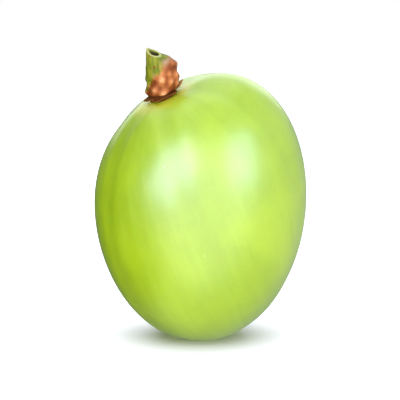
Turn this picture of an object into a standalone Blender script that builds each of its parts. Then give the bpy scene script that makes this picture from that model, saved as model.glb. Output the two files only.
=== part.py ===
"""Indian gooseberry, one whole fruit as picked.

The fruit stands on a small flat spot. Its stem end is on its upper left shoulder, with a star of six
sepals on the skin and the swollen, broken-off end of the stalk above it. Units are metres and +Z is up.
The front, where the viewer stands, is -Y. The origin is under the middle of the fruit, in the plane of
the flat spot.
"""

import math

import bmesh
import bpy
import numpy as np
from mathutils import Matrix, Vector

# Fruit: its widest half width, its height before the flat spot is cut, and the depth of that cut
HALF_WIDTH = 0.01514
HALF_HEIGHT = 0.01937
REST_CUT = 0.0006
# The egg shape: how its width changes with height, how much narrower its lowest tip is, and how far its
# crown leans right
EGG_TERMS = (0.052, 0.008, -0.040)
TIP_NARROWING = 0.034
TIP_POWER = 8
CROWN_LEAN = 0.00255
LEAN_POWER = 5
# Direction from the middle of the fruit to its stem end, on the upper left and a little to the front
STEM_END = (-0.462, -0.206, 0.863)
FRUIT_COLUMNS = 72
FRUIT_ROWS = 44
# How much closer the rows of points lie at the two ends of the fruit
ROW_CROWDING = 0.11
# Rounds in which a place on the skin beside the stem end is found
HEIGHT_CORRECTIONS = 5

# Seat of the calyx, blossom scar and segment furrows, as depths and widths in the skin
SEAT_DEPTH = 0.00035
SEAT_WIDTH = 0.0030
# Slope of the seat, which is lower on its right and stands more level than the shoulder round it
SEAT_SLOPE = 0.23
SLOPE_WIDTH = 0.0036
SCAR_DEPTH = 0.0002
SCAR_WIDTH = 0.0011
SEGMENTS = 6
FURROW_DEPTH = 0.00016
FURROW_WIDTH = 0.0014
FURROW_START = 0.0036
# Share of the furrows' depth that is left at the blossom end
LOWER_FURROW = 0.3

# Calyx: a thin disc and six sepals, three broad and three narrow by turns, the reach of each from the
# front one round to the right
GAP = 0.00029
DISC_RADIUS = 0.0020
DISC_THICKNESS = 0.00066
DISC_COLUMNS = 36
DISC_ROWS = 16
# Power of the disc's outline and of its flat top, as in a flattened ball
DISC_EDGE_POWER = 0.3
SEPALS = 6
SEPAL_ROOT = 0.0006
SEPAL_REACHES = (0.00290, 0.00300, 0.00345, 0.00300, 0.00300, 0.00290)
SEPAL_HALF_WIDTHS = (0.00118, 0.00096)
SEPAL_THICKNESS = 0.00064
# How far the tips of the sepals curl up, from the front one round to the right
SEPAL_CURLS = (0.00020, 0.00025, 0.00045, 0.00030, 0.00025, 0.00020)
SEPAL_TWIST = math.radians(-20)
SEPAL_COLUMNS = 16
SEPAL_ROWS = 16
# Powers of a sepal's outline at its root and its tip, of its rounded edge and of its blunt ends
SEPAL_ROOT_POWER = 0.5
SEPAL_TIP_POWER = 0.8
SEPAL_EDGE_POWER = 0.5
SEPAL_END_POWER = 10

# Stalk: its height and the radius of its broken rim, then the radius and height of its profile, from the
# bottom of the end pit, over the rim and down to the middle of the foot
STALK_TOP = 0.0064
RIM_RADIUS = 0.00088
STALK_PROFILE = (
    (0.00000, 0.00555),
    (0.00030, 0.00560),
    (0.00046, 0.00600),
    (0.00064, 0.00635),
    (RIM_RADIUS, STALK_TOP),
    (0.00106, 0.00610),
    (0.00132, 0.00575),
    (0.00168, 0.00525),
    (0.00202, 0.00460),
    (0.00222, 0.00380),
    (0.00230, 0.00310),
    (0.00236, 0.00240),
    (0.00232, 0.00188),
    (0.00200, 0.00152),
    (0.00140, 0.00134),
    (0.00000, 0.00132),
)
STALK_COLUMNS = 72
STALK_ROWS = 40
# The stalk leans right of its foot's direction, and less so towards its top
STALK_LEAN = 0.0020
LEAN_BACK = 0.0012
# Its broken end slants up to the left
BREAK_SLANT = math.radians(34)
BREAK_START = 0.0050
BREAK_HIGH_SIDE = math.radians(-115)
# A short horn on the high side of the break, and the angle that it covers
HORN_HEIGHT = 0.00035
HORN_SPREAD = math.radians(38)
# Lumps of the swelling, each about a golden angle on from the last: how unevenly they are placed and sized,
# the heights that they cover, how far each stands out, its radius and the level between them
LUMPS = 26
LUMP_TURN = math.radians(137.508)
LUMP_STRAY = 0.2
LUMP_HEIGHTS = (0.0010, 0.0048)
LUMP_STAND = 0.00034
LUMP_RADIUS = 0.00056
LUMP_LEVEL = 0.00012
# The lumps fade out between these heights, which count a left point as higher than a right one
LUMP_FADES = (0.0040, 0.0058)
LEFT_LIFT = 0.0016
# The lumps fade to nothing within this radius too, so that the foot stays whole
FOOT_RADIUS = 0.0015

SKIN_COLOUR = (0.52, 0.76, 0.13)
SEPAL_COLOUR = (0.16, 0.06, 0.03)
STALK_COLOUR = (0.55, 0.30, 0.14)


def clear_scene():
    for old in list(bpy.data.objects):
        bpy.data.objects.remove(old, do_unlink=True)


def material(name, colour, roughness):
    """A Principled material in one colour."""
    made = bpy.data.materials.new(name)
    made.use_nodes = True
    shader = made.node_tree.nodes["Principled BSDF"]
    shader.inputs["Base Color"].default_value = (*colour, 1)
    shader.inputs["Roughness"].default_value = roughness
    shader.inputs["Metallic"].default_value = 0
    return made


def ball(name, columns, rows):
    """A closed ball mesh, with each point's share of the way down and its angle round the axis."""
    shape = bmesh.new()
    bmesh.ops.create_uvsphere(shape, u_segments=columns, v_segments=rows, radius=1)
    mesh = bpy.data.meshes.new(name)
    shape.to_mesh(mesh)
    shape.free()
    points = read_points(mesh)
    share = np.arccos(np.clip(points[:, 2], -1, 1)) / math.pi
    angle = np.arctan2(points[:, 1], points[:, 0])
    return mesh, share, angle


def read_points(mesh):
    points = np.empty(len(mesh.vertices) * 3)
    mesh.vertices.foreach_get("co", points)
    return points.reshape(-1, 3)


def write_points(mesh, points):
    mesh.vertices.foreach_set("co", points.ravel())
    mesh.update()


def add_object(mesh, look):
    mesh.materials.append(look)
    mesh.shade_smooth()
    made = bpy.data.objects.new(mesh.name, mesh)
    bpy.context.scene.collection.objects.link(made)
    return made


def stem_axes():
    """Three unit directions at the stem end, before the fruit's height stretches them."""
    outward = Vector(STEM_END).normalized()
    front = Vector((0, -1, 0))
    front = (front - front.dot(outward) * outward).normalized()
    return np.array((front, outward.cross(front), outward))


def egg_points(directions):
    """Unit directions to points of the plain body: an egg, narrow end down, with a crown that leans right."""
    rise = directions[:, 2]
    linear, square, cube = EGG_TERMS
    tip = TIP_NARROWING * ((1 - rise) / 2) ** TIP_POWER
    width = HALF_WIDTH * (1 + linear * rise + square * rise**2 + cube * rise**3 - tip)
    lean = CROWN_LEAN * ((1 + rise) / 2) ** LEAN_POWER
    height = HALF_HEIGHT * (1 + rise) - REST_CUT
    return np.stack((lean + width * directions[:, 0], width * directions[:, 1], height), axis=1)


def skin_relief(polar, angle):
    """How far the skin lies below the plain egg, by the angle from the stem end and the angle round it."""
    from_stem = HALF_WIDTH * polar
    from_scar = HALF_WIDTH * (math.pi - polar)
    slope = SEAT_SLOPE * from_stem * np.sin(angle) * np.exp(-((from_stem / SLOPE_WIDTH) ** 2))
    seat = slope + SEAT_DEPTH * np.exp(-((from_stem / SEAT_WIDTH) ** 2))
    scar = SCAR_DEPTH * np.exp(-((from_scar / SCAR_WIDTH) ** 2))
    sector = 2 * math.pi / SEGMENTS
    aside = HALF_WIDTH * np.sin(polar) * (np.mod(angle + sector / 2, sector) - sector / 2)
    across = np.exp(-((aside / FURROW_WIDTH) ** 2))
    along = LOWER_FURROW + (1 - LOWER_FURROW) * (0.5 + 0.5 * np.cos(polar))
    ends = 1 - np.exp(-((np.minimum(from_stem, from_scar) / FURROW_START) ** 4))
    return seat + scar + FURROW_DEPTH * across * along * ends


def skin_points(polar, angle):
    """Points of the finished skin, pushed in from the plain egg by the relief."""
    front, side, outward = stem_axes()
    ring = np.outer(np.sin(polar) * np.cos(angle), front) + np.outer(np.sin(polar) * np.sin(angle), side)
    directions = ring + np.outer(np.cos(polar), outward)
    inward = -directions / (HALF_WIDTH, HALF_WIDTH, HALF_HEIGHT)
    inward /= np.linalg.norm(inward, axis=1, keepdims=True)
    return egg_points(directions) + inward * skin_relief(polar, angle)[:, None]


def crown_matrix():
    """The place and tilt of the cap: its origin on the skin, x to the front and z away from the skin."""
    near = math.radians(1)
    polar = np.array((0, near, near, near, near))
    angle = np.array((0, 0, math.pi, math.pi / 2, -math.pi / 2))
    centre, front, back, right, left = (Vector(point) for point in skin_points(polar, angle))
    outward = (front - back).cross(right - left).normalized()
    forward = Vector((0, -1, 0))
    forward = (forward - forward.dot(outward) * outward).normalized()
    turn = Matrix((forward, outward.cross(forward), outward)).transposed()
    return Matrix.Translation(centre) @ turn.to_4x4()


def skin_heights(crown, x, y):
    """Heights of the skin in the crown's own directions, at places to the front and to the side of it."""
    turn = np.array(crown.inverted())
    aim = np.stack((x, y))
    for _ in range(HEIGHT_CORRECTIONS):
        polar = np.hypot(aim[0], aim[1]) / HALF_WIDTH
        found = skin_points(polar, np.arctan2(aim[1], aim[0])) @ turn[:3, :3].T + turn[:3, 3]
        aim += np.stack((x, y)) - found[:, :2].T
    return found[:, 2]


def cut_rest_spot(mesh):
    """Cuts the fruit flat at the floor and closes the cut with one flat face."""
    shape = bmesh.new()
    shape.from_mesh(mesh)
    everything = shape.verts[:] + shape.edges[:] + shape.faces[:]
    bmesh.ops.bisect_plane(
        shape, geom=everything, dist=1e-6, plane_co=(0, 0, 0), plane_no=(0, 0, -1), clear_outer=True
    )
    rim = [edge for edge in shape.edges if edge.is_boundary]
    bmesh.ops.contextual_create(shape, geom=rim)
    bmesh.ops.recalc_face_normals(shape, faces=shape.faces[:])
    shape.to_mesh(mesh)
    shape.free()


def make_fruit():
    mesh, share, angle = ball("fruit", FRUIT_COLUMNS, FRUIT_ROWS)
    polar = math.pi * (share - ROW_CROWDING * np.sin(2 * math.pi * share))
    write_points(mesh, skin_points(polar, angle))
    cut_rest_spot(mesh)
    return add_object(mesh, material("fruit_skin", SKIN_COLOUR, 0.3))


def lay_on_skin(mesh, crown, x, y, rise):
    """Writes points that stand a rise above the skin at their places beside the stem end."""
    height = skin_heights(crown, x, y) + rise
    write_points(mesh, np.stack((x, y, height), axis=1))
    mesh.transform(crown)


def make_disc(crown, look):
    """The thin disc that the sepals grow from, which follows the seat."""
    mesh, share, angle = ball("calyx", DISC_COLUMNS, DISC_ROWS)
    up = np.cos(math.pi * share)
    radius = DISC_RADIUS * np.sin(math.pi * share) ** DISC_EDGE_POWER
    rise = GAP + DISC_THICKNESS / 2 * (1 + np.sign(up) * np.abs(up) ** DISC_EDGE_POWER)
    lay_on_skin(mesh, crown, radius * np.cos(angle), radius * np.sin(angle), rise)
    return add_object(mesh, look)


def make_sepal(crown, number, look):
    """One pointed sepal, broadest a third of the way out, with rounded edges and a tip that curls up."""
    mesh, share, angle = ball(f"sepal_{number}", SEPAL_COLUMNS, SEPAL_ROWS)
    kind = number % 2
    root, tip = SEPAL_ROOT_POWER, SEPAL_TIP_POWER
    broadest = root**root * tip**tip / (root + tip) ** (root + tip)
    outline = share**root * (1 - share) ** tip / broadest
    upward = np.sign(np.sin(angle)) * np.abs(np.sin(angle)) ** SEPAL_EDGE_POWER
    fullness = np.sqrt(1 - (2 * share - 1) ** SEPAL_END_POWER)
    outward = SEPAL_ROOT + (SEPAL_REACHES[number] - SEPAL_ROOT) * share
    across = SEPAL_HALF_WIDTHS[kind] * outline * np.cos(angle)
    middle = GAP + DISC_THICKNESS / 2 + SEPAL_CURLS[number] * share**3
    rise = middle + SEPAL_THICKNESS / 2 * fullness * upward
    turn = SEPAL_TWIST + 2 * math.pi * number / SEPALS
    x = outward * math.cos(turn) - across * math.sin(turn)
    y = outward * math.sin(turn) + across * math.cos(turn)
    lay_on_skin(mesh, crown, x, y, rise)
    return add_object(mesh, look)


def fuse(body, pieces):
    """Joins the pieces to the body with one union, keeps the result and removes the pieces."""
    group = bpy.data.collections.new("pieces")
    bpy.context.scene.collection.children.link(group)
    for piece in pieces:
        bpy.context.scene.collection.objects.unlink(piece)
        group.objects.link(piece)
    union = body.modifiers.new("union", "BOOLEAN")
    union.operation = "UNION"
    union.operand_type = "COLLECTION"
    union.collection = group
    graph = bpy.context.evaluated_depsgraph_get()
    joined = bpy.data.meshes.new_from_object(body.evaluated_get(graph))
    body.modifiers.clear()
    body.data = joined
    for piece in pieces:
        bpy.data.objects.remove(piece, do_unlink=True)
    bpy.data.collections.remove(group)


def make_calyx(crown):
    look = material("calyx_brown", SEPAL_COLOUR, 0.6)
    disc = make_disc(crown, look)
    sepals = [make_sepal(crown, number, look) for number in range(SEPALS)]
    fuse(disc, sepals)
    return disc


def smooth_step(low, high, value):
    part = np.clip((value - low) / (high - low), 0, 1)
    return part * part * (3 - 2 * part)


def curve_through(corners, share):
    """Points on a smooth curve through the corners, a cubic for each span between two of them."""
    ends = np.vstack((corners[:1], corners, corners[-1:]))
    place = np.clip(share, 0, 1) * (len(corners) - 1)
    span = np.minimum(place.astype(int), len(corners) - 2)
    t = (place - span)[:, None]
    before, start, end, after = (ends[span + step] for step in range(4))
    bow = 2 * before - 5 * start + 4 * end - after
    twist = 3 * (start - end) + after - before
    return start + 0.5 * t * (end - before + t * (bow + t * twist))


def stalk_lumps(radius, height, angle):
    """How far the lumps push the swelling out: a bell for each lump, less the level between them."""
    number = np.arange(LUMPS)
    low, high = LUMP_HEIGHTS
    turn = LUMP_TURN * number + LUMP_STRAY * np.sin(5 * number)
    beside = np.mod(angle[:, None] - turn + math.pi, 2 * math.pi) - math.pi
    above = height[:, None] - (low + (high - low) * (number + 0.5) / LUMPS)
    distance = np.hypot(radius[:, None] * beside, above)
    size = 1 + LUMP_STRAY * np.sin(3 * number + 1)
    bells = (size * np.exp(-((distance / (size * LUMP_RADIUS)) ** 2))).sum(axis=1)
    lifted = height + LEFT_LIFT * (0.5 - 0.5 * np.sin(angle))
    fade = 1 - smooth_step(*LUMP_FADES, lifted)
    return (LUMP_STAND * bells - LUMP_LEVEL) * fade * smooth_step(0, FOOT_RADIUS, radius)


def make_stalk(crown):
    """The stalk end: a lumpy turned profile that leans, and ends in a slanted break with a pit."""
    mesh, share, angle = ball("stalk", STALK_COLUMNS, STALK_ROWS)
    radius, height = curve_through(np.array(STALK_PROFILE), share).T
    radius = np.maximum(radius, 0)
    radius = radius + stalk_lumps(radius, height, angle)
    near_break = smooth_step(BREAK_START, STALK_TOP, height)
    from_high = np.mod(angle - BREAK_HIGH_SIDE + math.pi, 2 * math.pi) - math.pi
    slant = math.tan(BREAK_SLANT) * radius * np.cos(from_high)
    horn = HORN_HEIGHT * np.exp(-((from_high / HORN_SPREAD) ** 2)) * smooth_step(0, RIM_RADIUS, radius)
    climb = height / STALK_TOP
    lean = STALK_LEAN * climb - LEAN_BACK * climb**3
    height = height + (slant + horn) * near_break
    write_points(mesh, np.stack((radius * np.cos(angle), radius * np.sin(angle) + lean, height), axis=1))
    mesh.transform(crown)
    return add_object(mesh, material("stalk_tan", STALK_COLOUR, 0.55))


def centre_on_origin(fruit, pieces):
    """Moves every piece by one step, which brings the middle of the fruit's width and depth to the origin."""
    points = read_points(fruit.data)
    middle = (points.min(axis=0) + points.max(axis=0)) / 2
    for piece in pieces:
        piece.data.transform(Matrix.Translation((-middle[0], -middle[1], 0)))


def main():
    clear_scene()
    crown = crown_matrix()
    fruit = make_fruit()
    calyx = make_calyx(crown)
    stalk = make_stalk(crown)
    centre_on_origin(fruit, (fruit, calyx, stalk))


main()
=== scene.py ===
"""Finished look of one whole indian gooseberry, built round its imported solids.

The fruit, its calyx and the end of its stalk are made again as fine surfaces, by the formulas of the
solids that they replace, and are given their finishes here. Units are metres, +Z is up and -Y is the
front, where the viewer stands. The origin is on the floor, under the middle of the fruit.
"""

import logging
import math
from dataclasses import astuple, dataclass
from enum import Enum

import bpy
import numpy as np
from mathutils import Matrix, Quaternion, Vector


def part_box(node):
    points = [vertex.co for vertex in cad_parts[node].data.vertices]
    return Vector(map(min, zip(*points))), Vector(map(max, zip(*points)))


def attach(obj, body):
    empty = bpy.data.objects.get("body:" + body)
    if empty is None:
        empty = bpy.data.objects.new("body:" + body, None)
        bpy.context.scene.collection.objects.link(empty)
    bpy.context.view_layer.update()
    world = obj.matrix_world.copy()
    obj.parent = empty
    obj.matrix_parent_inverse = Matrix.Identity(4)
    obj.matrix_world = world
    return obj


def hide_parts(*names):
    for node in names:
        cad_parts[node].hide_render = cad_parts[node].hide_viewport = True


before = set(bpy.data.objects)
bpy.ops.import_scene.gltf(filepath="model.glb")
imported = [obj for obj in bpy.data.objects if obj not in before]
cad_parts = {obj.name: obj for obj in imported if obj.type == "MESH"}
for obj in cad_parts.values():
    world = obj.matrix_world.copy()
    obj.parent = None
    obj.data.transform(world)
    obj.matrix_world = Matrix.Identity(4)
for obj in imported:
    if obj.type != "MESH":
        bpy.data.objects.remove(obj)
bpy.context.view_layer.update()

Array = np.ndarray
Colour = tuple[float, float, float]
Socket = bpy.types.NodeSocket
Feed = float | Colour | Socket

LOG = logging.getLogger("gooseberry")
BODY = "root"
MM = 0.001

# Places of the two colours among a mix node's inputs, and of the mixed one among its outputs.
MIX_INPUTS = (6, 7)
MIX_OUTPUT = 2


class Part(Enum):
    """The solids of the fruit, each with the material slot of its finish."""

    FRUIT = ("fruit", "fruit_skin")
    CALYX = ("calyx", "calyx_brown")
    STALK = ("stalk", "stalk_tan")

    @property
    def node(self) -> str:
        """Name of the solid."""
        return self.value[0]

    @property
    def slot(self) -> str:
        """Name of the material slot."""
        return self.value[1]


def smooth_step(low: float, high: float, value: Array) -> Array:
    """A soft step: 0 up to low, 1 from high on, and three times the square less two cubes between.

    Args:
        low: where the step starts, which may be above its end.
        high: where it ends.
        value: the values that are stepped.

    Returns:
        The steps, from 0 to 1.
    """
    part = np.clip((value - low) / (high - low), 0, 1)
    return part * part * (3 - 2 * part)


def curve_through(corners: Array, share: Array) -> Array:
    """A smooth curve through corners: for each span a cubic, whose end slopes come from the neighbours.

    Args:
        corners: the corners, one to a row.
        share: how far along the curve each wanted point is, from 0 to 1.

    Returns:
        The points, one to a row.
    """
    ends = np.vstack((corners[:1], corners, corners[-1:]))
    place = np.clip(share, 0, 1) * (len(corners) - 1)
    span = np.minimum(place.astype(int), len(corners) - 2)
    t = (place - span)[:, None]
    before, start, end, after = (ends[span + step] for step in range(4))
    bow = 2 * before - 5 * start + 4 * end - after
    twist = 3 * (start - end) + after - before
    return start + 0.5 * t * (end - before + t * (bow + t * twist))


def bell(distance: Array, width: float | Array) -> Array:
    """A bell: e raised to minus the square of the distance over its width."""
    return np.exp(-((distance / width) ** 2))


def unit(vectors: Array) -> Array:
    """The vectors at length 1."""
    return vectors / np.linalg.norm(vectors, axis=-1, keepdims=True)


def directions_at(outward: Array) -> Array:
    """Three unit directions, one to a row: to the front and to the side, square to the third, outward.

    Args:
        outward: the third direction.

    Returns:
        The directions.
    """
    ahead = np.array((0.0, -1.0, 0.0))
    forward = unit(ahead - ahead @ outward * outward)
    return np.stack((forward, np.cross(outward, forward), outward))


def angle_between(angle: Array, other: float | Array) -> Array:
    """The turn from one angle to another, from minus a half turn to a half turn."""
    return np.mod(angle - other + math.pi, 2 * math.pi) - math.pi


@dataclass(frozen=True)
class RoundGrid:
    """A closed net of points: a first pole, rings of points and a last pole."""

    columns: int
    rows: int

    def parameters(self) -> tuple[Array, Array]:
        """The two parameters of every point.

        Returns:
            The share of the way from the first pole to the last, and the angle round the axis.
        """
        rings = np.arange(1, self.rows) / self.rows
        turns = np.arange(self.columns) * (2 * math.pi / self.columns)
        share = np.concatenate(([0.0], np.repeat(rings, self.columns), [1.0]))
        angle = np.concatenate(([0.0], np.tile(turns, self.rows - 1), [0.0]))
        return share, angle

    def faces(self) -> list[list[int]]:
        """The faces: four-sided between the rings and three-sided at the poles, all facing out.

        Returns:
            The faces, as lists of point numbers.
        """
        ring = 1 + self.columns * np.arange(self.rows - 1)[:, None]
        here = np.arange(self.columns)
        after = np.roll(here, -1)
        corners = (ring[:-1] + here, ring[1:] + here, ring[1:] + after, ring[:-1] + after)
        quads = np.stack(corners, axis=-1).reshape(-1, 4)
        last = ring[-1]
        end = np.full_like(here, last + self.columns)
        first_pole = np.stack((np.zeros_like(here), 1 + here, 1 + after), axis=-1)
        last_pole = np.stack((last + after, last + here, end), axis=-1)
        return first_pole.tolist() + quads.tolist() + last_pole.tolist()


def add_piece(name: str, points: Array, faces: list, marks: dict[str, Array]) -> bpy.types.Object:
    """Makes one smooth-shaded piece at the origin.

    Args:
        name: its name.
        points: its points, one to a row.
        faces: its faces, as lists of point numbers.
        marks: values at its points, which its finish reads by name.

    Returns:
        The piece.
    """
    mesh = bpy.data.meshes.new(name)
    mesh.from_pydata(points.tolist(), [], faces)
    for mark, values in marks.items():
        kind, key = ("FLOAT", "value") if values.ndim == 1 else ("FLOAT_VECTOR", "vector")
        mesh.attributes.new(mark, kind, "POINT").data.foreach_set(key, values.astype(np.float32).ravel())
    mesh.shade_smooth()
    piece = bpy.data.objects.new(name, mesh)
    bpy.context.scene.collection.objects.link(piece)
    return piece


def declare(piece: bpy.types.Object, part: Part) -> None:
    """Lets a piece ride on the body and stand for its solid, and reports it.

    Args:
        piece: the piece.
        part: the solid that it stands for and takes its finish from.
    """
    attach(piece, BODY)
    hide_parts(part.node)
    LOG.info("%s: %d points, %d faces", piece.name, len(piece.data.vertices), len(piece.data.polygons))


@dataclass(frozen=True)
class Ramp:
    """A soft step: where it starts and ends, in either order, and its results up to there and beyond."""

    start: float
    end: float
    low: float = 0.0
    high: float = 1.0


@dataclass(frozen=True)
class Grain:
    """Soft noise: spots to a metre or to a unit of its place, octaves, and how far it distorts itself."""

    scale: float
    detail: float = 3.0
    warp: float = 0.0


@dataclass(frozen=True)
class Specks:
    """Scattered round specks: cells to a metre, radius, share of the cells with one, strength, colour.

    The radius of each is multiplied by a random size, from least_size to least_size plus more_size.
    The edge is where its soft outline starts and ends, in its own radii.
    """

    cells: float
    radius: float
    kept: float
    strength: float
    colour: Colour
    least_size: float = 0.5
    more_size: float = 0.6
    edge: tuple[float, float] = (1.3, 0.7)


class Wiring:
    """The nodes of one node tree, with short calls for the kinds that are used often."""

    def __init__(self, tree: bpy.types.NodeTree) -> None:
        """Takes the tree that it adds nodes to."""
        self.tree = tree

    def node(self, kind: str, *values: Feed, **settings: str) -> bpy.types.Node:
        """A new node.

        Args:
            kind: its kind.
            values: what its first inputs are fed, in their order.
            settings: its settings, by their names.

        Returns:
            The node.
        """
        node = self.tree.nodes.new("ShaderNode" + kind)
        for name, setting in settings.items():
            setattr(node, name, setting)
        for socket, value in zip(node.inputs, values):
            self.feed(socket, value)
        return node

    def feed(self, socket: Socket, value: Feed) -> None:
        """Links a socket to another one, or sets its value.

        Args:
            socket: the socket that is fed.
            value: the other socket, or a number, colour or vector.
        """
        if isinstance(value, Socket):
            self.tree.links.new(value, socket)
        elif isinstance(value, tuple) and socket.type == "RGBA":
            socket.default_value = (*value, 1.0)
        else:
            socket.default_value = value

    def math(self, operation: str, *numbers: Feed) -> Socket:
        """One operation on numbers."""
        return self.node("Math", *numbers, operation=operation).outputs[0]

    def step(self, value: Socket, ramp: Ramp) -> Socket:
        """A soft step of a value."""
        node = self.node("MapRange", value, *astuple(ramp), interpolation_type="SMOOTHSTEP")
        return node.outputs[0]

    def mix(self, share: Feed, first: Feed, second: Feed, blend: str = "MIX") -> Socket:
        """Two colours mixed.

        Args:
            share: the share of the second colour.
            first: the first colour.
            second: the second colour.
            blend: how the second colour is laid over the first.

        Returns:
            The mixed colour.
        """
        node = self.node("Mix", share, data_type="RGBA", blend_type=blend)
        for place, colour in zip(MIX_INPUTS, (first, second)):
            self.feed(node.inputs[place], colour)
        return node.outputs[MIX_OUTPUT]


class NodeSheet(Wiring):
    """The nodes of one material."""

    def __init__(self, name: str) -> None:
        """Starts a material with its plain shader.

        Args:
            name: the material's name.
        """
        self.material = bpy.data.materials.new(name)
        self.material.use_nodes = True
        super().__init__(self.material.node_tree)
        self.shader = self.tree.nodes["Principled BSDF"]

    def set(self, **values: Feed) -> None:
        """Sets or links sockets of the shader.

        Args:
            values: the values, by the sockets' names in small letters with underscores.
        """
        sockets = {socket.name.lower().replace(" ", "_"): socket for socket in self.shader.inputs}
        for name, value in values.items():
            self.feed(sockets[name], value)

    def place(self) -> Socket:
        """Object coordinates, in metres."""
        return self.node("TexCoord").outputs["Object"]

    def mark(self, name: str, output: str = "Fac") -> Socket:
        """One of the piece's own attributes, as a number or, with the output Vector, as a place."""
        return self.node("Attribute", attribute_name=name).outputs[output]

    def noise(self, grain: Grain, where: str | None = None) -> Socket:
        """Soft noise from 0 to 1.

        Args:
            grain: its scale, its detail and its warp.
            where: the attribute that it reads as its place, object coordinates if none is given.

        Returns:
            The noise.
        """
        node = self.node("TexNoise", self.mark(where, "Vector") if where else self.place())
        self.feed(node.inputs["Scale"], grain.scale)
        self.feed(node.inputs["Detail"], grain.detail)
        self.feed(node.inputs["Distortion"], grain.warp)
        return node.outputs["Fac"]

    def dots(self, specks: Specks) -> Socket:
        """Scattered round dots, as strong as wanted inside and 0 outside.

        Space is split into cells round stray points. One random number of the cell says whether it
        holds a dot, another one says how large the dot is, and a soft step of the distance from the
        cell's point makes its edge.

        Args:
            specks: the sizes of the dots.

        Returns:
            The dots.
        """
        node = self.node("TexVoronoi", self.place())
        self.feed(node.inputs["Scale"], specks.cells)
        split = self.node("SeparateColor", node.outputs["Color"])
        chosen = self.math("LESS_THAN", split.outputs[0], specks.kept)
        size = self.math("MULTIPLY_ADD", split.outputs[1], specks.more_size, specks.least_size)
        reach = self.math("DIVIDE", node.outputs["Distance"], size)
        edge = Ramp(*(part * specks.cells * specks.radius for part in specks.edge))
        inside = self.math("MULTIPLY", self.step(reach, edge), chosen)
        return self.math("MULTIPLY", inside, specks.strength)

    def bump(self, height: Socket, depth: float, below: Socket | None = None) -> Socket:
        """Relief from a height.

        Args:
            height: the height, from 0 to 1.
            depth: its real depth, in metres.
            below: the normal of the relief that it adds to.

        Returns:
            The new normal.
        """
        node = self.node("Bump")
        self.feed(node.inputs["Distance"], depth)
        self.feed(node.inputs["Height"], height)
        if below is not None:
            self.feed(node.inputs["Normal"], below)
        return node.outputs["Normal"]


@dataclass(frozen=True)
class WaxySkin:
    """Finish of the skin: yellow-green, waxy and half translucent, with faint fibres and small specks.

    The ramps at the stem and the scar read distances in millimetres.
    """

    ripe: Colour = (0.48, 0.68, 0.012)
    deep: Colour = (0.35, 0.53, 0.004)
    yellow: Colour = (0.72, 0.66, 0.035)
    bloom: Colour = (0.50, 0.72, 0.05)
    scar: Colour = (0.25, 0.22, 0.06)
    clouds: Grain = Grain(90)
    cloudy: Ramp = Ramp(0.35, 0.65)
    evened: float = 0.35
    fibres: Grain = Grain(9.0, detail=5, warp=0.2)
    pale_fibres: Ramp = Ramp(0.50, 0.70, 0, 0.34)
    deep_fibres: Ramp = Ramp(0.47, 0.30, 0, 0.28)
    cells: Grain = Grain(1500, detail=2)
    pale_cells: Ramp = Ramp(0.45, 0.70, 0, 0.12)
    deep_furrows: Ramp = Ramp(0.2, 1.0, 0, 0.30)
    near_stem: Ramp = Ramp(4.6, 2.9, 0, 0.6)
    near_scar: Ramp = Ramp(1.3, 0.5, 0, 0.8)
    specks: tuple[Specks, ...] = (
        Specks(310, 0.00022, kept=0.4, strength=0.35, colour=(0.66, 0.78, 0.30)),
        Specks(130, 0.00050, kept=0.6, strength=0.5, colour=(0.66, 0.78, 0.30)),
        Specks(230, 0.00014, kept=0.3, strength=0.6, colour=(0.16, 0.23, 0.03)),
    )
    pores: Grain = Grain(2600)
    pore_depth: float = 0.000006
    ripples: Grain = Grain(420, detail=2)
    ripple_depth: float = 0.00003
    smears: Grain = Grain(700)
    roughness: Ramp = Ramp(0.3, 0.7, 0.36, 0.44)

    def make(self) -> bpy.types.Material:
        """The material: clouds, fibres, cells, the tints at the two ends, and specks.

        Light sinks into it, more of the green and red than of the blue, and a soft wax lies over it.

        Returns:
            The material.
        """
        sheet = NodeSheet("waxy skin")
        colour = sheet.mix(sheet.step(sheet.noise(self.clouds), self.cloudy), self.ripe, self.deep)
        colour = sheet.mix(self.evened, colour, self.ripe)
        fibres = sheet.noise(self.fibres, where="fibre")
        cells = sheet.noise(self.cells)
        layers = (
            (fibres, self.pale_fibres, self.bloom),
            (fibres, self.deep_fibres, self.deep),
            (cells, self.pale_cells, self.bloom),
            (sheet.mark("furrow"), self.deep_furrows, self.deep),
            (sheet.mark("from_stem"), self.near_stem, self.yellow),
            (sheet.mark("from_scar"), self.near_scar, self.scar),
        )
        for value, ramp, tint in layers:
            colour = sheet.mix(sheet.step(value, ramp), colour, tint)
        for specks in self.specks:
            colour = sheet.mix(sheet.dots(specks), colour, specks.colour)
        pores = sheet.bump(sheet.noise(self.pores), self.pore_depth)
        sheet.set(
            base_color=colour,
            roughness=sheet.step(sheet.noise(self.smears), self.roughness),
            normal=sheet.bump(sheet.noise(self.ripples), self.ripple_depth, below=pores),
            subsurface_weight=0.75,
            subsurface_radius=(0.8, 1.0, 0.25),
            subsurface_scale=0.004,
            ior=1.9,
            coat_weight=0.8,
            coat_roughness=0.28,
            coat_ior=1.9,
        )
        return sheet.material


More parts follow.
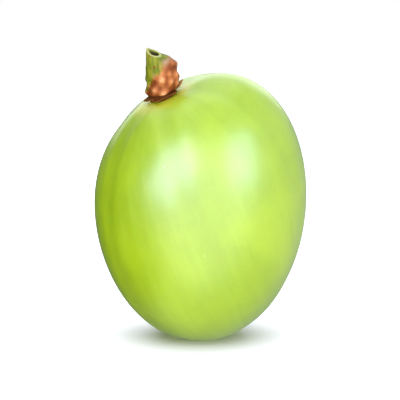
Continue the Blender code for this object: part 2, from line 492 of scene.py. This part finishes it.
@dataclass(frozen=True)
class DrySepal:
    """Finish of the calyx: tan root, dark red-brown tips, veins, paler edges and painted shade at the
    root.
    """

    root: Colour = (0.62, 0.36, 0.13)
    tip: Colour = (0.13, 0.034, 0.004)
    edge: Colour = (0.42, 0.21, 0.07)
    # The dark colour of the painted shade, laid where the mark shade says: at the sepal roots and on the
    # ring.
    under: Colour = (0.075, 0.016, 0.002)
    browning: Ramp = Ramp(0.15, 0.75)
    veins: Grain = Grain(1.0, detail=4)
    pale_veins: Ramp = Ramp(0.5, 0.75, 0, 0.5)
    pale_margin: Ramp = Ramp(0.80, 0.99, 0, 0.25)
    vein_depth: float = 0.00008
    roughness: Ramp = Ramp(0.3, 0.7, 0.5, 0.75)

    def make(self) -> bpy.types.Material:
        """The material: browner outwards, with veins along each sepal, a pale edge and painted shade at
        the foot.

        Returns:
            The material.
        """
        sheet = NodeSheet("dry sepal")
        colour = sheet.mix(sheet.step(sheet.mark("along"), self.browning), self.root, self.tip)
        veins = sheet.noise(self.veins, where="vein")
        colour = sheet.mix(sheet.step(veins, self.pale_veins), colour, self.edge)
        colour = sheet.mix(sheet.step(sheet.mark("margin"), self.pale_margin), colour, self.edge)
        # Painted shade: darkest at the sepals' roots beside the stalk, and on the ring.
        colour = sheet.mix(sheet.mark("shade"), colour, self.under)
        sheet.set(
            base_color=colour,
            roughness=sheet.step(veins, self.roughness),
            normal=sheet.bump(veins, self.vein_depth),
            specular_ior_level=0.06,
        )
        return sheet.material


@dataclass(frozen=True)
class LumpyStalk:
    """Finish of the stalk end: orange-pink lumps, painted highlight and shade, a green stub, pale rim,
    dark pit.
    """

    lump: Colour = (0.45, 0.150, 0.048)
    # Painted highlight on the tops of the lumps.
    crest_highlight: Colour = (0.76, 0.35, 0.17)
    # Painted shade in the hollows between lumps, also the colour of the random dark patches.
    shaded_gap_and_dark_patch: Colour = (0.20, 0.045, 0.010)
    pink: Colour = (0.48, 0.34, 0.21)
    green: Colour = (0.13, 0.18, 0.012)
    light_green: Colour = (0.29, 0.30, 0.020)
    rim: Colour = (0.50, 0.52, 0.22)
    pit: Colour = (0.045, 0.03, 0.010)
    # Painted shade at the foot of the stalk, where it stands in the calyx.
    foot: Colour = (0.07, 0.02, 0.008)
    patches: Grain = Grain(900, detail=4)
    patch_share: float = 0.9
    lumps: Ramp = Ramp(0.56, 1.08)
    crest_highlights: Ramp = Ramp(1.06, 1.60)
    blotches: Grain = Grain(650, detail=2)
    pinkish: Ramp = Ramp(0.66, 0.40, 0.05, 0.8)
    streaks: Grain = Grain(5.0, detail=4)
    streaky: Ramp = Ramp(0.35, 0.65)
    blotch_share: float = 1.4
    greenish: Ramp = Ramp(0.95, 1.60)
    dark_patches: Ramp = Ramp(0.60, 0.78, 0, 0.60)
    bark: Grain = Grain(2200, detail=4)
    bark_depth: float = 0.00006
    streak_depth: float = 0.00005
    roughness: Ramp = Ramp(0.3, 0.7, 0.42, 0.6)

    def make(self) -> bpy.types.Material:
        """The material: lumps with painted highlights on their tops and painted shade in the hollows
        between them, pink above them, and green on stub and left flank.

        The green has ragged edges, because blotches are added to the mark that says where it grows.

        Returns:
            The material.
        """
        sheet = NodeSheet("lumpy stalk")
        patches = sheet.noise(self.patches)
        lumps = sheet.math("ADD", sheet.mark("lump"), sheet.math("MULTIPLY", patches, self.patch_share))
        # Painted shade in the hollows between lumps, then painted highlights on their tops.
        colour = sheet.mix(sheet.step(lumps, self.lumps), self.shaded_gap_and_dark_patch, self.lump)
        colour = sheet.mix(sheet.step(lumps, self.crest_highlights), colour, self.crest_highlight)
        blotches = sheet.noise(self.blotches)
        pinkish = sheet.math("MULTIPLY", sheet.step(blotches, self.pinkish), sheet.mark("plain"))
        colour = sheet.mix(pinkish, colour, self.pink)
        streaks = sheet.noise(self.streaks, where="streak")
        greens = sheet.mix(sheet.step(streaks, self.streaky), self.green, self.light_green)
        strays = sheet.math("MULTIPLY", blotches, self.blotch_share)
        ragged = sheet.math("ADD", sheet.mark("greenness"), strays)
        colour = sheet.mix(sheet.step(ragged, self.greenish), colour, greens)
        # Random dark patches, in the colour of the painted shade between lumps.
        colour = sheet.mix(sheet.step(patches, self.dark_patches), colour, self.shaded_gap_and_dark_patch)
        # Painted shade at the foot, then the pale rim and the dark pit.
        for mark, tint in (("foot_shade", self.foot), ("rim", self.rim), ("pit", self.pit)):
            colour = sheet.mix(sheet.mark(mark), colour, tint)
        bark = sheet.bump(sheet.noise(self.bark), self.bark_depth)
        sheet.set(
            base_color=colour,
            roughness=sheet.step(patches, self.roughness),
            specular_ior_level=0.15,
            normal=sheet.bump(streaks, self.streak_depth, below=bark),
            subsurface_weight=0.05,
            subsurface_radius=(1.0, 0.5, 0.2),
            subsurface_scale=0.0006,
        )
        return sheet.material


@dataclass(frozen=True)
class BodyShape:
    """The surface of the fruit, as a function of the angle from its stem end and the angle round it."""

    half_width: float = 0.01514
    half_height: float = 0.01937
    rest_cut: float = 0.0006
    egg_terms: tuple[float, float, float] = (0.052, 0.008, -0.040)
    tip_narrowing: float = 0.034
    tip_power: int = 8
    crown_lean: float = 0.00255
    lean_power: int = 5
    stem_end: tuple[float, float, float] = (-0.462, -0.206, 0.863)
    seat_depth: float = 0.00035
    seat_width: float = 0.0030
    seat_slope: float = 0.23
    slope_width: float = 0.0036
    scar_depth: float = 0.0002
    scar_width: float = 0.0011
    segments: int = 6
    furrow_depth: float = 0.00016
    furrow_width: float = 0.0014
    furrow_start: float = 0.0036
    fade_power: int = 4
    lower_furrow: float = 0.3

    def egg(self, directions: Array) -> Array:
        """The plain body: an egg, narrow end down, with a crown that leans right.

        The width is a cubic in the rise, less a high power of it that narrows the lowest tip, and the
        lean is a high power of the rise too.

        Args:
            directions: unit directions from the middle, one to a row.

        Returns:
            The points of the body in those directions.
        """
        rise = directions[:, 2]
        linear, square, cube = self.egg_terms
        tip = self.tip_narrowing * ((1 - rise) / 2) ** self.tip_power
        width = self.half_width * (1 + linear * rise + square * rise**2 + cube * rise**3 - tip)
        lean = self.crown_lean * ((1 + rise) / 2) ** self.lean_power
        height = self.half_height * (1 + rise) - self.rest_cut
        return np.stack((lean + width * directions[:, 0], width * directions[:, 1], height), axis=1)

    def furrows(self, polar: Array, angle: Array) -> Array:
        """How deep each point lies in a furrow, from 0 to 1: a bell across, which fades at both ends.

        Args:
            polar: angle from the stem end.
            angle: angle round it.

        Returns:
            The shares of the full depth.
        """
        aside = self.half_width * np.sin(polar) * angle_between(self.segments * angle, 0) / self.segments
        upper = (1 + np.cos(polar)) / 2
        along = self.lower_furrow + (1 - self.lower_furrow) * upper
        nearest_end = self.half_width * np.minimum(polar, math.pi - polar)
        fade = 1 - np.exp(-((nearest_end / self.furrow_start) ** self.fade_power))
        return bell(aside, self.furrow_width) * along * fade

    def relief(self, polar: Array, angle: Array) -> Array:
        """How far the skin lies below the plain body: a bell at each end, and the furrows.

        The bell at the stem end also slopes: it is deeper on the right by the distance to that side,
        times a wider bell.

        Args:
            polar: angle from the stem end.
            angle: angle round it.

        Returns:
            The depths.
        """
        from_stem = self.half_width * polar
        from_scar = self.half_width * (math.pi - polar)
        slope = self.seat_slope * from_stem * np.sin(angle) * bell(from_stem, self.slope_width)
        seat = slope + self.seat_depth * bell(from_stem, self.seat_width)
        scar = self.scar_depth * bell(from_scar, self.scar_width)
        return seat + scar + self.furrow_depth * self.furrows(polar, angle)

    def points(self, polar: Array, angle: Array) -> Array:
        """Points of the skin: the plain body, pushed in by the relief towards the middle.

        Args:
            polar: angle from the stem end.
            angle: angle round it, from the front towards the side.

        Returns:
            The points, one to a row.
        """
        ring = np.sin(polar)
        parts = np.stack((ring * np.cos(angle), ring * np.sin(angle), np.cos(polar)), axis=1)
        directions = parts @ directions_at(unit(np.array(self.stem_end)))
        inward = -unit(directions / (self.half_width, self.half_width, self.half_height))
        return self.egg(directions) + inward * self.relief(polar, angle)[:, None]


@dataclass
class Crown:
    """The place of the calyx and the stalk: a point on the skin and three directions there."""

    shape: BodyShape
    near: float = math.radians(1)
    corrections: int = 5

    def __post_init__(self) -> None:
        """Finds the stem end of the skin, and its directions from four points close round it."""
        polar = np.array((0, self.near, self.near, self.near, self.near))
        angle = np.array((0, 0, math.pi, math.pi / 2, -math.pi / 2))
        self.centre, front, back, right, left = self.shape.points(polar, angle)
        self.directions = directions_at(unit(np.cross(front - back, right - left)))

    def to_world(self, points: Array) -> Array:
        """Turns and moves points from the crown's own directions to the world's."""
        return self.centre + points @ self.directions

    def to_crown(self, points: Array) -> Array:
        """Turns and moves points from the world's directions to the crown's own."""
        return (points - self.centre) @ self.directions.T

    def skin_height(self, x: Array, y: Array) -> Array:
        """Height of the skin at places beside the middle of the crown.

        The place on the skin is first taken on a sphere, and then corrected a few times by how far the
        point there misses the place that is wanted.

        Args:
            x: distances to the front.
            y: distances to the side.

        Returns:
            The heights above the crown's middle.
        """
        aim_x, aim_y = x.copy(), y.copy()
        for _ in range(self.corrections):
            polar = np.hypot(aim_x, aim_y) / self.shape.half_width
            found = self.to_crown(self.shape.points(polar, np.arctan2(aim_y, aim_x)))
            aim_x += x - found[:, 0]
            aim_y += y - found[:, 1]
        return found[:, 2]


@dataclass
class Assembly:
    """Pieces that stand for one solid and share one finish.

    The shift is the step that brings the middle of the fruit over the origin.
    """

    part: Part
    finish: WaxySkin | DrySepal | LumpyStalk
    shift: Array

    def dress(self, pieces: list[bpy.types.Object]) -> None:
        """Gives the pieces their finish.

        Args:
            pieces: the pieces.
        """
        look = self.finish.make()
        for piece in pieces:
            piece.data.materials.append(look)


@dataclass
class Fruit(Assembly):
    """The fruit itself, one fine closed surface.

    Each of its two waves has the number of its turns round and along the skin, and where it starts.
    """

    shape: BodyShape
    grid: RoundGrid = RoundGrid(columns=360, rows=220)
    row_crowding: float = 0.11
    waves: tuple[tuple[float, ...], ...] = ((2, 0.7, 3, 0.0), (5, 2.1, 2, 0.5))
    wave_depth: float = 0.00005
    floor_softness: float = 0.00004
    fibre_pitch: float = 0.14

    def build(self) -> list[bpy.types.Object]:
        """Makes the skin: the body's points, with low waves, pressed flat where it rests.

        Each wave is a product of cosines of the two angles, and they fade at both ends. The flat spot
        is a soft maximum of the height and the floor: half the sum of the height and of the root of
        its square plus a small square, less half the small length.

        Returns:
            The skin alone.
        """
        share, angle = self.grid.parameters()
        polar = math.pi * (share - self.row_crowding * np.sin(2 * math.pi * share))
        points = self.shape.points(polar, angle)
        waves = sum(
            np.cos(round_turns * angle + round_start) * np.cos(long_turns * polar + long_start)
            for round_turns, round_start, long_turns, long_start in self.waves
        )
        middle = np.array((0, 0, self.shape.half_height))
        points += unit(points - middle) * (self.wave_depth * np.sin(polar) ** 2 * waves)[:, None]
        height = points[:, 2]
        soft = self.floor_softness
        points[:, 2] = np.maximum((height + np.sqrt(height**2 + soft**2) - soft) / 2, 0)
        marks = {
            "furrow": self.shape.furrows(polar, angle),
            "from_stem": self.shape.half_width * polar / MM,
            "from_scar": self.shape.half_width * (math.pi - polar) / MM,
            "fibre": np.stack((np.cos(angle), np.sin(angle), self.fibre_pitch * polar), axis=1),
        }
        return [add_piece("fruit_skin", points + self.shift, self.grid.faces(), marks)]


@dataclass
class Calyx(Assembly):
    """The ring that holds the foot of the stalk, and the six sepals that grow from it.

    The reaches, curls and scales of browning and painted shade are those of each sepal in turn, from
    the front round to the right. The half widths are those of every other sepal. For its finish the ring
    counts as a place along a sepal, with painted shade of its own.
    """

    crown: Crown
    ring_radius: float = 0.0021
    ring_height: float = 0.0010
    ring_sunk: float = 0.0002
    ring_side_power: float = 0.4
    ring_dome_power: float = 0.5
    ring_along: float = 0.6
    # ring_shade is painted shade on the ring, which stands dark between the stalk and the skin.
    ring_shade: float = 0.75
    ring_veins: float = 3
    ring_grid: RoundGrid = RoundGrid(columns=72, rows=20)
    sepals: int = 6
    root: float = 0.0006
    reaches: tuple[float, ...] = (0.00285, 0.00300, 0.00350, 0.00300, 0.00300, 0.00290)
    half_widths: tuple[float, float] = (0.00118, 0.00096)
    thickness: float = 0.00028
    fullness_power: int = 10
    lift: float = 0.00010
    curls: tuple[float, ...] = (0.00030, 0.00035, 0.00080, 0.00050, 0.00045, 0.00030)
    # Each sepal's scale of browning and of painted shade: the second is darkest, the third kept pale.
    browning_and_shade: tuple[float, ...] = (1.0, 1.5, 0.25, 0.9, 0.8, 1.0)
    cup: float = 0.00016
    ruffle: float = 0.00006
    ruffle_turns: float = 9
    twist: float = math.radians(-20)
    root_power: float = 0.5
    tip_power: float = 0.8
    # shade and shade_fade give painted shade at each sepal's root, fading outwards.
    shade: float = 0.7
    shade_fade: tuple[float, float] = (0.55, 0.2)
    veins_along: float = 1.2
    veins_across: float = 6
    sepal_grid: RoundGrid = RoundGrid(columns=40, rows=48)

    def build(self) -> list[bpy.types.Object]:
        """Makes the ring and the sepals."""
        return [self.build_ring()] + [self.build_sepal(number) for number in range(self.sepals)]

    def build_ring(self) -> bpy.types.Object:
        """A low round pad on the skin, a circle turned, whose sine and cosine are raised to low powers.

        Returns:
            The pad.
        """
        share, angle = self.ring_grid.parameters()
        polar = math.pi * share
        radius = self.ring_radius * np.sin(polar) ** self.ring_side_power
        x, y = radius * np.cos(angle), radius * np.sin(angle)
        dome = np.sign(np.cos(polar)) * np.abs(np.cos(polar)) ** self.ring_dome_power
        rise = self.ring_height * (1 + dome) / 2 - self.ring_sunk
        height = self.crown.skin_height(x, y) + rise
        level = np.zeros_like(share)
        # The ring is drawn with painted shade over most of its colour.
        marks = {
            "along": np.full_like(share, self.ring_along),
            "margin": level,
            "shade": np.full_like(share, self.ring_shade),
            "vein": np.stack((x, y, level), axis=1) * self.ring_veins / MM,
        }
        points = self.crown.to_world(np.stack((x, y, height), axis=1)) + self.shift
        return add_piece("calyx_ring", points, self.ring_grid.faces(), marks)

    def build_sepal(self, number: int) -> bpy.types.Object:
        """One thin sepal that lies on the skin and curls up at its tip.

        Its outline is a product of powers of the share of its length and of what is left of it. Its
        middle line rises with the cube of that share, its sides rise with the square of the distance
        from the middle line, and a sine along it, larger towards the sides, ruffles it.

        Args:
            number: the sepal's number, from the front round to the right.

        Returns:
            The sepal.
        """
        share, angle = self.sepal_grid.parameters()
        root, tip = self.root_power, self.tip_power
        broadest = root**root * tip**tip / (root + tip) ** (root + tip)
        across = share**root * (1 - share) ** tip / broadest * np.cos(angle)
        aside = self.half_widths[number % len(self.half_widths)] * across
        outward = self.root + (self.reaches[number] - self.root) * share
        fullness = np.sqrt(np.maximum(1 - (2 * share - 1) ** self.fullness_power, 0))
        half = self.thickness / 2
        middle = self.lift + half + self.curls[number] * share**3
        wave = self.ruffle * np.sin(self.ruffle_turns * share + number) * across
        rise = middle + self.cup * across**2 + wave - half * fullness * np.sin(angle)
        turn = self.twist + 2 * math.pi * number / self.sepals
        x = outward * math.cos(turn) - aside * math.sin(turn)
        y = outward * math.sin(turn) + aside * math.cos(turn)
        height = self.crown.skin_height(x, y) + rise
        browning_and_shade = self.browning_and_shade[number]
        veins = (self.veins_along * share + number, self.veins_across * across, np.zeros_like(share))
        marks = {
            "along": share * browning_and_shade,
            "margin": np.abs(np.cos(angle)),
            # Painted shade, full at the root beside the stalk and gone towards the tip.
            "shade": min(self.shade * browning_and_shade, 1) * smooth_step(*self.shade_fade, share),
            "vein": np.stack(veins, axis=1),
        }
        points = self.crown.to_world(np.stack((x, y, height), axis=1)) + self.shift
        return add_piece(f"sepal_{number + 1}", points, self.sepal_grid.faces(), marks)


@dataclass
class Stalk(Assembly):
    """The swollen, lumpy end of the stalk, with the short stub above it.

    The corners of the profile are a radius and a height each, from the bottom of the pit over the rim
    and down to the foot. The rim and the pit of the finish are given as places along the profile,
    counted in its corners.
    """

    crown: Crown
    grid: RoundGrid = RoundGrid(columns=160, rows=150)
    top: float = 0.0064
    rim_radius: float = 0.00084
    profile: tuple[tuple[float, float], ...] = (
        (0.00000, 0.00545), (0.00026, 0.00552), (0.00042, 0.00595), (0.00058, 0.00635),
        (0.00084, 0.00640), (0.00104, 0.00610), (0.00132, 0.00575), (0.00170, 0.00525),
        (0.00204, 0.00460), (0.00225, 0.00380), (0.00232, 0.00300), (0.00236, 0.00220),
        (0.00240, 0.00150), (0.00236, 0.00100), (0.00208, 0.00064), (0.00150, 0.00044),
        (0.00000, 0.00040),
    )
    lean: float = 0.0020
    lean_back: float = 0.0012
    break_slant: float = math.radians(34)
    break_start: float = 0.0050
    high_side: float = math.radians(-115)
    horn_height: float = 0.00035
    horn_spread: float = math.radians(38)
    lumps: int = 26
    lump_turn: float = math.radians(137.508)
    lump_stray: float = 0.2
    turn_pitch: float = 5
    size_pitch: float = 3
    size_start: float = 1
    lump_range: tuple[float, float] = (0.0010, 0.0048)
    lump_stand: float = 0.00034
    lump_radius: float = 0.00056
    lump_level: float = 0.00012
    lump_fades: tuple[float, float] = (0.0040, 0.0058)
    left_lift: float = 0.0016
    foot_radius: float = 0.0015
    # Mark values of the hollows and of the lumps: the finish paints shade at the first, highlights at the
    # second.
    gap_mark: float = 0.05
    lump_mark: float = 0.85
    plain_mark: float = 0.50
    plain_fade: tuple[float, float] = (0.3, 1.0)
    green_heights: tuple[float, float] = (0.0040, 0.0068)
    green_left: float = 0.0038
    foot_heights: tuple[float, float] = (0.0010, 0.0006)
    rim_corner: float = 3.8
    rim_spread: float = 0.55
    pit_corners: tuple[float, float] = (3.1, 2.2)
    streak_pitch: float = 0.12

    @staticmethod
    def leftness(angle: Array) -> Array:
        """How far each angle points to the left, from 0 on the right to 1 on the left."""
        return (1 - np.sin(angle)) / 2

    def lump_bells(self, radius: Array, height: Array, angle: Array) -> Array:
        """The sum of a bell for each lump, with the lumps about a golden angle and an even rise apart.

        Sines of the lump's number, each with a pitch of its own, turn each lump a little further and
        make it larger or smaller.

        Args:
            radius: distances from the axis.
            height: heights along it.
            angle: angles round it.

        Returns:
            The sums, about 1 on a lump and near 0 between lumps.
        """
        number = np.arange(self.lumps)
        low, high = self.lump_range
        turn = self.lump_turn * number + self.lump_stray * np.sin(self.turn_pitch * number)
        rise = low + (high - low) * (number + 0.5) / self.lumps
        size = 1 + self.lump_stray * np.sin(self.size_pitch * number + self.size_start)
        beside = radius[:, None] * angle_between(angle[:, None], turn)
        distance = np.hypot(beside, height[:, None] - rise)
        return (size * bell(distance, self.lump_radius * size)).sum(axis=1)

    def build(self) -> list[bpy.types.Object]:
        """Makes the stalk: a profile turned round an axis that leans, with lumps and a slanted break.

        The lumps push the profile outwards and fade out above, sooner on the left than on the right.
        The lean is a cubic in the height. The break is a slope across the end, with a bell-shaped horn
        on its high side.

        Returns:
            The stalk end alone.
        """
        share, angle = self.grid.parameters()
        radius, height = curve_through(np.array(self.profile), share).T
        radius = np.maximum(radius, 0)
        bells = self.lump_bells(radius, height, angle)
        left = self.leftness(angle)
        lumpy = 1 - smooth_step(*self.lump_fades, height + self.left_lift * left)
        lumpy = lumpy * smooth_step(0, self.foot_radius, radius)
        radius = radius + (self.lump_stand * bells - self.lump_level) * lumpy
        from_high = angle_between(angle, self.high_side)
        slant = math.tan(self.break_slant) * radius * np.cos(from_high)
        inside = smooth_step(0, self.rim_radius, radius)
        horn = self.horn_height * bell(from_high, self.horn_spread) * inside
        lifted = height + (slant + horn) * smooth_step(self.break_start, self.top, height)
        climb = height / self.top
        lean = self.lean * climb - self.lean_back * climb**3
        place = np.stack((radius * np.cos(angle), radius * np.sin(angle) + lean, lifted), axis=1)
        marks = self.marks(share, angle, height, bells, lumpy)
        return [add_piece("stalk_end", self.crown.to_world(place) + self.shift, self.grid.faces(), marks)]

    def marks(
        self, share: Array, angle: Array, height: Array, bells: Array, lumpy: Array
    ) -> dict[str, Array]:
        """What the finish reads: the lumps and their gaps, which carry painted highlight and painted
        shade, the green, the painted shade at the foot, the rim and the pit.

        Each is a soft step or a bell of the height or of the place along the profile. The green starts
        lower on the left, by a length times the square of the share to the left.

        Args:
            share: the share of the way along the profile.
            angle: angles round the axis.
            height: heights along it.
            bells: the sums of the lumps' bells.
            lumpy: the share of the lumps that shows.

        Returns:
            The values, by their names.
        """
        corner = share * (len(self.profile) - 1)
        left = self.leftness(angle)
        lump = self.plain_mark * (1 - lumpy) + (self.gap_mark + self.lump_mark * bells) * lumpy
        streak = (np.cos(angle), np.sin(angle), self.streak_pitch * height / MM)
        return {
            "lump": np.clip(lump, 0, 1),
            "plain": smooth_step(*self.plain_fade, 1 - lumpy),
            "greenness": smooth_step(*self.green_heights, height + self.green_left * left**2),
            # Painted shade at the foot of the stalk.
            "foot_shade": smooth_step(*self.foot_heights, height),
            "rim": bell(corner - self.rim_corner, self.rim_spread),
            "pit": smooth_step(*self.pit_corners, corner),
            "streak": np.stack(streak, axis=1),
        }


@dataclass(frozen=True)
class Softbox:
    """A flat rectangular light that faces the fruit.

    The azimuth is counted from the front to the right, and the roll turns the light about its own
    aim, both in degrees like the elevation. A light with gloss only leaves the diffuse light alone.
    """

    name: str
    azimuth: float
    elevation: float
    distance: float
    width: float
    height: float
    radiance: Colour
    roll: float = 0.0
    gloss_only: bool = True

    def add(self, target: Vector) -> bpy.types.Object:
        """Places the light round the target, facing it.

        Args:
            target: the target.

        Returns:
            The light.
        """
        light = bpy.data.lights.new(self.name, "AREA")
        light.shape = "RECTANGLE"
        light.size = self.width
        light.size_y = self.height
        strongest = max(self.radiance)
        light.color = tuple(part / strongest for part in self.radiance)
        light.energy = strongest * math.pi * self.width * self.height
        lamp = bpy.data.objects.new(self.name, light)
        turn, lift = math.radians(self.azimuth), math.radians(self.elevation)
        level = math.cos(lift)
        away = Vector((math.sin(turn) * level, -math.cos(turn) * level, math.sin(lift)))
        lamp.location = target + away * self.distance
        roll = Quaternion((0, 0, 1), math.radians(self.roll))
        lamp.rotation_euler = (away.to_track_quat("Z", "Y") @ roll).to_euler()
        lamp.visible_diffuse = not self.gloss_only
        lamp.visible_camera = False
        bpy.context.scene.collection.objects.link(lamp)
        return lamp


@dataclass(frozen=True)
class Surroundings:
    """Light from all round, in one colour for each of the directions round the fruit."""

    left: Colour
    right: Colour
    front: Colour
    back: Colour
    above: Colour
    below: Colour


@dataclass(frozen=True)
class Sky:
    """Light from all round: one set of colours for diffuse light and one for gloss, behind plain white.

    The ramps read the parts of the direction: X to the right, Y to the back and Z upwards.
    """

    soft: Surroundings = Surroundings(
        left=(0.14, 0.21, 0.02), right=(0.76, 0.80, 0.86),
        front=(2.82, 2.74, 2.60), back=(0.55, 0.60, 0.50),
        above=(0.74, 0.88, 1.00), below=(0.16, 0.20, 0.18),
    )
    shine: Surroundings = Surroundings(
        left=(0.01, 0.015, 0.0), right=(0.32, 0.35, 0.46),
        front=(0.88, 0.94, 1.16), back=(0.0, 0.0, 0.0),
        above=(0.20, 0.23, 0.25), below=(0.27, 0.31, 0.33),
    )
    seen: Colour = (1.0, 1.0, 1.0)
    rightwards: Ramp = Ramp(-0.8, 0.6)
    downwards: Ramp = Ramp(-0.3, -0.8)
    frontwards: Ramp = Ramp(-0.3, -0.85)
    upwards: Ramp = Ramp(0.45, 0.9)
    far_left: tuple[Ramp, Ramp] = (Ramp(-0.50, -0.92), Ramp(0.1, -0.2))
    lower_left: tuple[Ramp, Ramp] = (Ramp(-0.40, -0.75), Ramp(-0.45, -0.65))
    behind: tuple[Ramp, Ramp] = (Ramp(0.2, 0.8), Ramp(0.3, 0.0))
    backwards: Ramp = Ramp(0.1, 0.9)

    def make(self) -> bpy.types.World:
        """The world: one blend for diffuse light, one for gloss and plain white for the camera.

        Returns:
            The world.
        """
        world = bpy.data.worlds.new("studio")
        world.use_nodes = True
        wiring = Wiring(world.node_tree)
        aim = wiring.node("SeparateXYZ", wiring.node("TexCoord").outputs["Generated"])
        path = wiring.node("LightPath").outputs
        soft, shine = (self.blend(wiring, aim.outputs, colours) for colours in (self.soft, self.shine))
        lit = wiring.mix(path["Is Glossy Ray"], soft, shine)
        shown = wiring.mix(path["Is Camera Ray"], lit, self.seen)
        wiring.feed(world.node_tree.nodes["Background"].inputs["Color"], shown)
        return world

    def blend(self, wiring: Wiring, aim: bpy.types.NodeOutputs, colours: Surroundings) -> Socket:
        """The colours of the directions, mixed softly into one another.

        They run level from left to right. The ones below, in front and above are laid over that in
        turn, then the left one on the far left and at the lower left, and the level run again behind.
        The back's colour is added to the result.

        Args:
            wiring: the world's nodes.
            aim: the three parts of the direction.
            colours: the colours of the directions.

        Returns:
            The colour in each direction.
        """

        def share(axes: str, *ramps: Ramp) -> Socket:
            """The product of soft steps of one or two parts of the direction."""
            steps = [wiring.step(aim[axis], ramp) for axis, ramp in zip(axes, ramps)]
            return steps[0] if len(steps) == 1 else wiring.math("MULTIPLY", *steps)

        level = wiring.mix(share("X", self.rightwards), colours.left, colours.right)
        colour = wiring.mix(share("Z", self.downwards), level, colours.below)
        colour = wiring.mix(share("Y", self.frontwards), colour, colours.front)
        colour = wiring.mix(share("Z", self.upwards), colour, colours.above)
        colour = wiring.mix(share("XZ", *self.far_left), colour, colours.left)
        colour = wiring.mix(share("XZ", *self.lower_left), colour, colours.left)
        colour = wiring.mix(share("YZ", *self.behind), colour, level)
        return wiring.mix(share("Y", self.backwards), colour, colours.back, "ADD")


@dataclass
class Studio:
    """A plain pale floor, soft lights and the camera."""

    target: Vector = Vector((-0.00007, 0.0, 0.01978))
    camera_elevation: float = math.radians(9)
    frame_width: float = 0.0572
    lens: float = 250.0
    sensor: float = 36.0
    clip: tuple[float, float] = (0.01, 100)
    floor_half: float = 0.35
    floor_colour: Colour = (0.56, 0.56, 0.59)
    sky: Sky = Sky()
    softboxes: tuple[Softbox, ...] = (
        Softbox("left window", -36, 25, 0.35, 0.22, 0.31, (1.65, 2.10, 3.0), roll=-27),
        Softbox("right window", 49, 27, 0.35, 0.20, 0.24, (1.08, 1.85, 2.65)),
        Softbox("top back", 20, 115, 0.40, 0.40, 0.30, (0.6, 0.65, 0.5)),
        Softbox("back strip", 5, 157, 0.50, 0.60, 0.26, (1.3, 1.4, 1.2)),
    )
    floor_light: Softbox = Softbox(
        "floor light", -90, 88, 0.60, 1.20, 1.20, (4.0, 3.95, 4.1), gloss_only=False
    )

    def build(self) -> None:
        """Makes the floor, the world, the lights and the camera."""
        self.add_floor()
        bpy.context.scene.world = self.sky.make()
        for softbox in self.softboxes:
            softbox.add(self.target)
        self.add_camera()
        bpy.context.scene.view_settings.view_transform = "Standard"

    def add_floor(self) -> None:
        """A large flat floor in one pale colour, with a soft light from above for itself alone."""
        corners = self.floor_half * np.array(((-1, -1, 0), (1, -1, 0), (1, 1, 0), (-1, 1, 0)))
        floor = add_piece("floor", corners, [[0, 1, 2, 3]], {})
        sheet = NodeSheet("pale floor")
        sheet.set(base_color=self.floor_colour, roughness=0.9, specular_ior_level=0.1)
        floor.data.materials.append(sheet.material)
        floor.visible_glossy = False
        floor.visible_diffuse = False
        lit_alone = bpy.data.collections.new("floor alone")
        lit_alone.objects.link(floor)
        self.floor_light.add(self.target).light_linking.receiver_collection = lit_alone

    def add_camera(self) -> None:
        """A long lens, far enough off that the frame is as wide as wanted at the target.

        The nearest and furthest distances that it shows are shares of its own distance.
        """
        data = bpy.data.cameras.new("camera")
        data.lens = self.lens
        data.sensor_width = self.sensor
        distance = self.frame_width * self.lens / self.sensor
        data.clip_start, data.clip_end = (part * distance for part in self.clip)
        lift = self.camera_elevation
        away = Vector((0.0, -math.cos(lift), math.sin(lift)))
        camera = bpy.data.objects.new("camera", data)
        camera.location = self.target + away * distance
        camera.rotation_euler = away.to_track_quat("Z", "Y").to_euler()
        bpy.context.scene.collection.objects.link(camera)
        bpy.context.scene.camera = camera


def shift_to_frame(shape: BodyShape, grid: RoundGrid) -> Array:
    """The step from the formulas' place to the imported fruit's: the difference of the two boxes' middles.

    Args:
        shape: the fruit's surface.
        grid: the net of points that it is measured on.

    Returns:
        The step, which is level.
    """
    share, angle = grid.parameters()
    points = shape.points(math.pi * share, angle)
    low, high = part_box(Part.FRUIT.node)
    step = np.array((low + high) / 2) - (points.min(axis=0) + points.max(axis=0)) / 2
    return step * (1, 1, 0)


def main() -> None:
    """Builds the studio and the three sub-assemblies, and dresses and reports their pieces."""
    logging.basicConfig(level=logging.INFO, format="%(name)s: %(message)s")
    Studio().build()
    shape = BodyShape()
    shift = shift_to_frame(shape, RoundGrid(columns=360, rows=180))
    crown = Crown(shape)
    assemblies = (
        Fruit(Part.FRUIT, WaxySkin(), shift, shape),
        Calyx(Part.CALYX, DrySepal(), shift, crown),
        Stalk(Part.STALK, LumpyStalk(), shift, crown),
    )
    for assembly in assemblies:
        pieces = assembly.build()
        assembly.dress(pieces)
        for piece in pieces:
            declare(piece, assembly.part)


if __name__ == "__main__":
    main()
